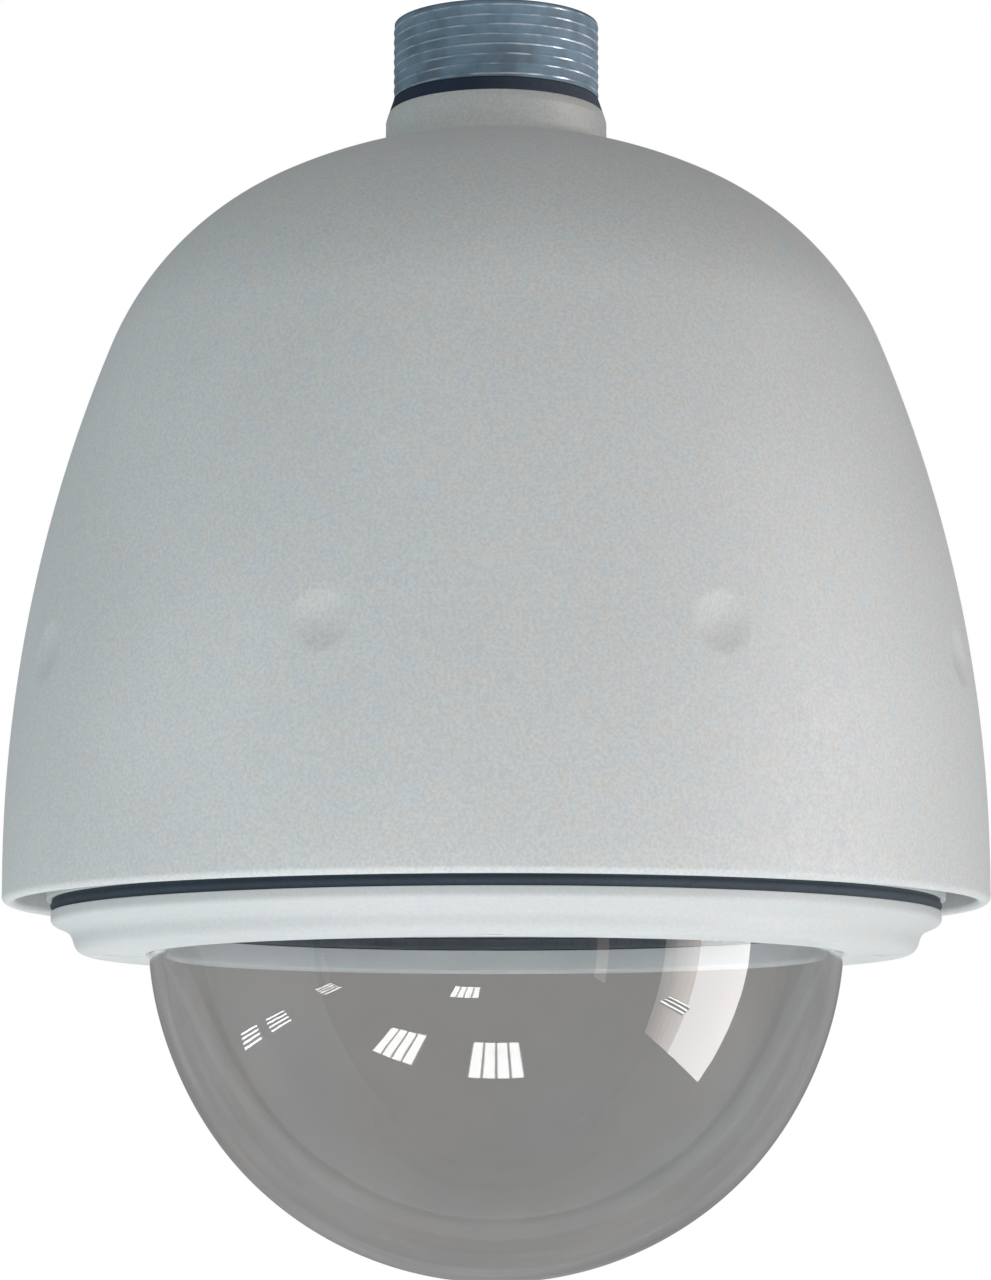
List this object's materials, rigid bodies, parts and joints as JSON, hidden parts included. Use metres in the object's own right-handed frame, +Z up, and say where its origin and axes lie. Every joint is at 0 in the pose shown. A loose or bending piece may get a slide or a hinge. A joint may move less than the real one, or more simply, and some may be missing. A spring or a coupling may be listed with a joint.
{
  "type": "ptz camera",
  "caption": "Pendant pan, tilt and zoom camera: threaded pipe mount, bell-shaped sunshield, sealed housing, trim ring and smoked hemispherical bubble.",
  "frame": {"origin": "centre of the pipe thread at its foot, where the thread meets the mount gasket", "axes": "+Z up along the pipe thread and the pan axis, -Y the way the lens looks at rest, +X along the tilt axis"},
  "size_m": [0.224, 0.224, 0.2907],
  "materials": {
    "shield_paint": "fine textured pale grey paint",
    "housing_paint": "satin pale grey paint",
    "ring_paint": "satin off-white paint",
    "turned_aluminium": "turned, bright thread crests",
    "sheet_steel": "brushed",
    "screw_steel": "bright zinc",
    "bearing_steel": "ground and polished",
    "black_rubber": "matt",
    "seal_rubber": "matt",
    "belt_rubber": "matt",
    "smoked_bubble": "smoked clear acrylic, gloss",
    "lens_glass": "coated optical glass",
    "black_plastic": "fine grained",
    "dark_metal": "black powder coat",
    "grey_plastic": "moulded",
    "cast_aluminium": "as cast",
    "brass": "plated",
    "bronze": "sintered bronze",
    "circuit_board": "green solder mask",
    "green_plastic": "moulded"
  },
  "bodies": {
    "housing": {"threaded_nipple": "turned_aluminium", "mount_gasket": "black_rubber", "nipple_locknut": "screw_steel", "sunshield": "shield_paint", "shield_spacers": "black_rubber", "housing_body": "housing_paint", "housing_gasket": "black_rubber", "chassis_plate": "sheet_steel", "chassis_screws": "screw_steel", "terminal_board": "circuit_board", "board_standoffs": "brass", "board_screws": "screw_steel", "terminal_block": "green_plastic", "coax_socket": "bearing_steel", "power_module": "black_plastic", "drive_board": "circuit_board", "drive_board_standoffs": "brass", "heater_bracket": "sheet_steel", "heater_block": "cast_aluminium", "fan_frame": "black_plastic", "bearing_cup": "cast_aluminium", "cup_screws": "screw_steel", "pan_bearing_outer": "bearing_steel", "slip_ring_stator": "grey_plastic", "pan_motor": "dark_metal", "pan_belt": "belt_rubber"},
    "fan": {"fan_rotor": "grey_plastic"},
    "pan_motor_shaft": {"pan_motor_pulley": "turned_aluminium"},
    "pan_head": {"pan_bearing_inner": "bearing_steel", "pan_bearing_balls": "bearing_steel", "pan_hub": "cast_aluminium", "hub_nut": "screw_steel", "pan_pulley": "black_plastic", "slip_ring_rotor": "grey_plastic", "pan_yoke": "dark_metal", "yoke_screws": "screw_steel", "tilt_bushings": "bronze", "tilt_motor": "dark_metal", "tilt_motor_screws": "screw_steel", "tilt_belt": "belt_rubber", "tilt_control_board": "circuit_board"},
    "tilt_motor_shaft": {"tilt_motor_pulley": "turned_aluminium"},
    "camera": {"camera_chassis": "cast_aluminium", "camera_front_cover": "black_plastic", "camera_rear_cover": "black_plastic", "camera_screws": "screw_steel", "lens_barrel": "dark_metal", "front_lens": "lens_glass", "camera_boards": "circuit_board", "tilt_pins": "screw_steel", "tilt_pulley": "black_plastic"},
    "zoom_group": {"zoom_lens_group": "grey_plastic"},
    "focus_group": {"focus_lens_group": "grey_plastic"},
    "night_filter": {"ir_cut_filter": "grey_plastic"},
    "dome_ring": {"trim_ring": "ring_paint", "bubble_seal": "seal_rubber", "dome_bubble": "smoked_bubble", "bubble_clamp_ring": "sheet_steel", "clamp_ring_screws": "screw_steel", "trim_ring_screws": "ring_paint"}
  },
  "joints": [
    {"name": "pan", "type": "hinge", "parent": "housing", "child": "pan_head", "pos_m": [0, 0, -0.094], "axis": [0, 0, 1], "continuous": true},
    {"name": "pan_motor_spin", "type": "hinge", "parent": "housing", "child": "pan_motor_shaft", "pos_m": [0, 0.052, -0.108], "axis": [0, 0, 1], "continuous": true},
    {"name": "tilt", "type": "hinge", "parent": "pan_head", "child": "camera", "pos_m": [0, 0, -0.172], "axis": [1, 0, 0], "range_deg": [-2, 92]},
    {"name": "tilt_motor_spin", "type": "hinge", "parent": "pan_head", "child": "tilt_motor_shaft", "pos_m": [0.026, 0, -0.14], "axis": [1, 0, 0], "range_deg": [-10, 350]},
    {"name": "zoom", "type": "slide", "parent": "camera", "child": "zoom_group", "axis": [0, -1, 0], "range_m": [0, 0.008]},
    {"name": "focus", "type": "slide", "parent": "camera", "child": "focus_group", "axis": [0, -1, 0], "range_m": [0, 0.006]},
    {"name": "night_filter_shift", "type": "slide", "parent": "camera", "child": "night_filter", "axis": [1, 0, 0], "range_m": [0, 0.0115]},
    {"name": "fan_spin", "type": "hinge", "parent": "housing", "child": "fan", "pos_m": [-0.0775, 0, -0.137], "axis": [0, 0, 1], "continuous": true},
    {"name": "dome_ring_lower", "type": "slide", "parent": "housing", "child": "dome_ring", "axis": [0, 0, -1], "range_m": [0, 0.1]}
  ],
  "couplings": [
    {"joint": "pan_motor_spin", "follows": "pan", "ratio": 7.5},
    {"joint": "tilt_motor_spin", "follows": "tilt", "ratio": 3.75}
  ]
}
